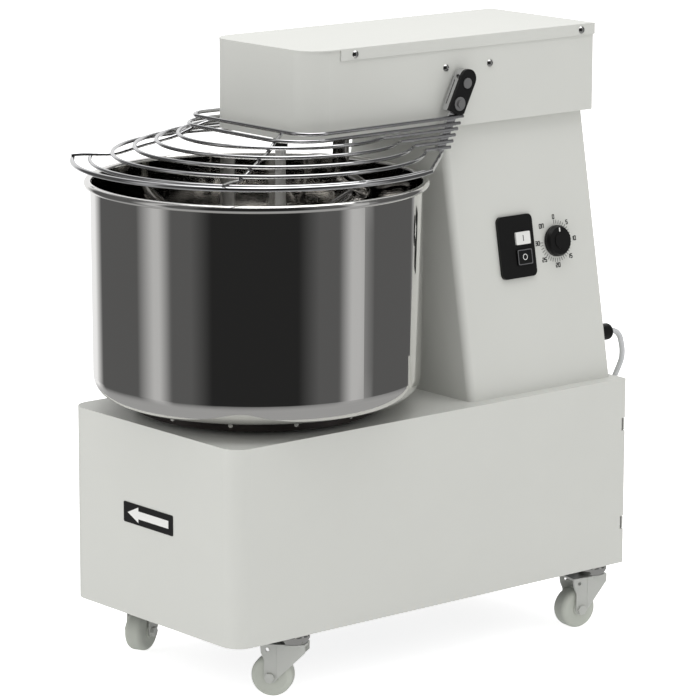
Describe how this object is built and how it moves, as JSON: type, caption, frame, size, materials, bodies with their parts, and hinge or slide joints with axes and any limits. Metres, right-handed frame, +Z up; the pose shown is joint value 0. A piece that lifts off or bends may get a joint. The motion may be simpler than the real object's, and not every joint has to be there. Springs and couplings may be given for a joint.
{
  "type": "spiral dough mixer",
  "caption": "Mobile bakery spiral dough mixer: turning steel bowl, kneading spiral and breaker bar under an overhanging head, hinged wire guard, boxy base on casters.",
  "frame": {"origin": "centre of the floor plate's underside, at the bottom of the base cabinet", "axes": "+X to the operator's right (controls side), +Y to the rear, +Z up; the floor is 78 mm below the origin"},
  "size_m": [0.4304, 0.7204, 0.756],
  "materials": {
    "painted_white": "smooth semi-gloss enamel",
    "structural_steel": "dark grey primer",
    "zinc_plate": "zinc plated, satin",
    "polished_steel": "mirror polished stainless",
    "chromed_wire": "bright chrome",
    "tool_steel": "polished stainless bar",
    "machine_steel": "machined, lightly oiled",
    "cast_housing": "fine cast with turned faces",
    "motor_paint": "grey machine enamel",
    "black_plastic": "fine texture",
    "grey_plastic": "fine texture",
    "white_plastic": "smooth",
    "nylon_white": "smooth nylon",
    "cable_grey": "smooth sheath",
    "belt_rubber": "fabric faced",
    "label_film": "printed film"
  },
  "bodies": {
    "machine": {"base_casing": "painted_white", "base_frame": "structural_steel", "floor_plate": "structural_steel", "drive_deck": "structural_steel", "base_rear_panel": "painted_white", "column_casing": "painted_white", "column_rear_cover": "painted_white", "column_channel": "structural_steel", "motor_plate": "structural_steel", "head_casing": "painted_white", "head_lid": "painted_white", "head_plate": "structural_steel", "casing_screws": "zinc_plate", "bowl_bearing_housing": "cast_housing", "spiral_bearing_housing": "cast_housing", "shaft_housings": "cast_housing", "drive_bearings": "machine_steel", "drive_chains": "machine_steel", "v_belt": "belt_rubber", "motor_housing": "motor_paint", "motor_fan_cowl": "motor_paint", "breaker_bar": "tool_steel", "bar_collar": "black_plastic", "switch_plate": "grey_plastic", "control_modules": "black_plastic", "cable_gland": "black_plastic", "mains_cable": "cable_grey", "mains_plug": "black_plastic", "direction_label": "label_film", "caster_swivel_heads": "zinc_plate"},
    "bowl_group": {"bowl": "polished_steel", "bowl_turntable": "cast_housing", "bowl_shaft": "machine_steel", "bowl_sprocket": "machine_steel"},
    "idler_group": {"idler_shaft": "machine_steel", "idler_sprockets": "machine_steel"},
    "layshaft_group": {"layshaft": "machine_steel", "layshaft_pulley": "machine_steel", "layshaft_sprockets": "machine_steel"},
    "spiral_group": {"spiral_hook": "tool_steel", "spiral_shaft": "machine_steel", "spiral_sprocket": "machine_steel"},
    "rotor_group": {"motor_rotor": "machine_steel", "motor_pulley": "machine_steel"},
    "guard": {"guard_frame": "chromed_wire", "guard_arm_covers": "black_plastic", "guard_screws": "zinc_plate", "guard_pivot_shaft": "machine_steel"},
    "start_button_body": {"start_button": "white_plastic"},
    "stop_button_body": {"stop_button": "black_plastic"},
    "timer_knob_body": {"timer_knob": "black_plastic"},
    "caster_front_right": {"caster_fork_front_right": "zinc_plate"},
    "wheel_front_right": {"caster_wheel_front_right": "nylon_white"},
    "caster_rear_right": {"caster_fork_rear_right": "zinc_plate"},
    "wheel_rear_right": {"caster_wheel_rear_right": "nylon_white"},
    "caster_front_left": {"caster_fork_front_left": "zinc_plate"},
    "wheel_front_left": {"caster_wheel_front_left": "nylon_white"},
    "caster_rear_left": {"caster_fork_rear_left": "zinc_plate"},
    "wheel_rear_left": {"caster_wheel_rear_left": "nylon_white"}
  },
  "joints": [
    {"name": "bowl_spin", "type": "hinge", "parent": "machine", "child": "bowl_group", "pos_m": [0, -0.15, 0.25], "axis": [0, 0, -1], "continuous": true},
    {"name": "idler_spin", "type": "hinge", "parent": "machine", "child": "idler_group", "pos_m": [0, 0, 0.12], "axis": [0, 0, -1], "continuous": true},
    {"name": "layshaft_spin", "type": "hinge", "parent": "machine", "child": "layshaft_group", "pos_m": [0, 0.145, 0.4], "axis": [0, 0, -1], "continuous": true},
    {"name": "spiral_spin", "type": "hinge", "parent": "machine", "child": "spiral_group", "pos_m": [0, -0.02, 0.6], "axis": [0, 0, -1], "continuous": true},
    {"name": "motor_spin", "type": "hinge", "parent": "machine", "child": "rotor_group", "pos_m": [0, 0.236, 0.4], "axis": [0, 0, -1], "continuous": true},
    {"name": "guard_hinge", "type": "hinge", "parent": "machine", "child": "guard", "pos_m": [0, 0.084, 0.624], "axis": [-1, 0, 0], "range_deg": [0, 70]},
    {"name": "start_press", "type": "slide", "parent": "machine", "child": "start_button_body", "axis": [-0.9846, 0, -0.175], "range_m": [0, 0.003], "stiffness_N_per_m": 300},
    {"name": "stop_press", "type": "slide", "parent": "machine", "child": "stop_button_body", "axis": [-0.9846, 0, -0.175], "range_m": [0, 0.003], "stiffness_N_per_m": 300},
    {"name": "timer_turn", "type": "hinge", "parent": "machine", "child": "timer_knob_body", "pos_m": [0.11069, 0.2346, 0.4142], "axis": [-0.9846, 0, -0.175], "range_deg": [0, 300]},
    {"name": "swivel_front_right", "type": "hinge", "parent": "machine", "child": "caster_front_right", "pos_m": [0.1395, -0.208, -0.01], "axis": [0, 0, 1], "continuous": true},
    {"name": "roll_front_right", "type": "hinge", "parent": "caster_front_right", "child": "wheel_front_right", "pos_m": [0.11951, -0.22301, -0.053], "axis": [0.6004, -0.7997, 0], "continuous": true},
    {"name": "swivel_rear_right", "type": "hinge", "parent": "machine", "child": "caster_rear_right", "pos_m": [0.1395, 0.277, -0.01], "axis": [0, 0, 1], "continuous": true},
    {"name": "roll_rear_right", "type": "hinge", "parent": "caster_rear_right", "child": "wheel_rear_right", "pos_m": [0.1355, 0.25232, -0.053], "axis": [0.9871, -0.1599, 0], "continuous": true},
    {"name": "swivel_front_left", "type": "hinge", "parent": "machine", "child": "caster_front_left", "pos_m": [-0.1395, -0.208, -0.01], "axis": [0, 0, 1], "continuous": true},
    {"name": "roll_front_left", "type": "hinge", "parent": "caster_front_left", "child": "wheel_front_left", "pos_m": [-0.12901, -0.23069, -0.053], "axis": [0.9078, 0.4195, 0], "continuous": true},
    {"name": "swivel_rear_left", "type": "hinge", "parent": "machine", "child": "caster_rear_left", "pos_m": [-0.1395, 0.277, -0.01], "axis": [0, 0, 1], "continuous": true},
    {"name": "roll_rear_left", "type": "hinge", "parent": "caster_rear_left", "child": "wheel_rear_left", "pos_m": [-0.15124, 0.25493, -0.053], "axis": [0.8829, -0.4695, 0], "continuous": true}
  ],
  "couplings": [
    {"joint": "idler_spin", "follows": "bowl_spin", "ratio": 3.6364},
    {"joint": "layshaft_spin", "follows": "bowl_spin", "ratio": 13.223},
    {"joint": "spiral_spin", "follows": "bowl_spin", "ratio": 4.4077},
    {"joint": "motor_spin", "follows": "bowl_spin", "ratio": 37.686}
  ]
}
